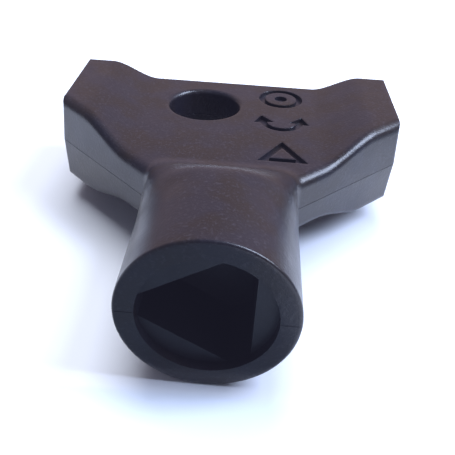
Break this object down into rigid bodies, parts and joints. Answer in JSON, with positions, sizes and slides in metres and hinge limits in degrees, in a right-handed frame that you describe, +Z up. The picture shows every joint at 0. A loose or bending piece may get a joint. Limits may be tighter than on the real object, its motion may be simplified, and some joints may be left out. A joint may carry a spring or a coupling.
{
  "type": "triangular socket key",
  "caption": "Wing-handled hand key with a blind triangular socket in a round barrel and a hole for a key ring.",
  "frame": {"origin": "centre of the bounding box in plan, on the plane that the barrel's underside lies on", "axes": "+Y from the socket's mouth to the back of the handle, +X across the wings, +Z up through the seam plane"},
  "size_m": [0.0406, 0.0438, 0.016],
  "materials": {
    "shell_plastic": "charcoal moulded plastic with a fine grain and a low satin sheen",
    "insert_plastic": "near-black moulded plastic, plain and smooth"
  },
  "bodies": {
    "root": {"upper_half": "shell_plastic", "lower_half": "shell_plastic", "socket_insert": "insert_plastic"}
  },
  "joints": []
}
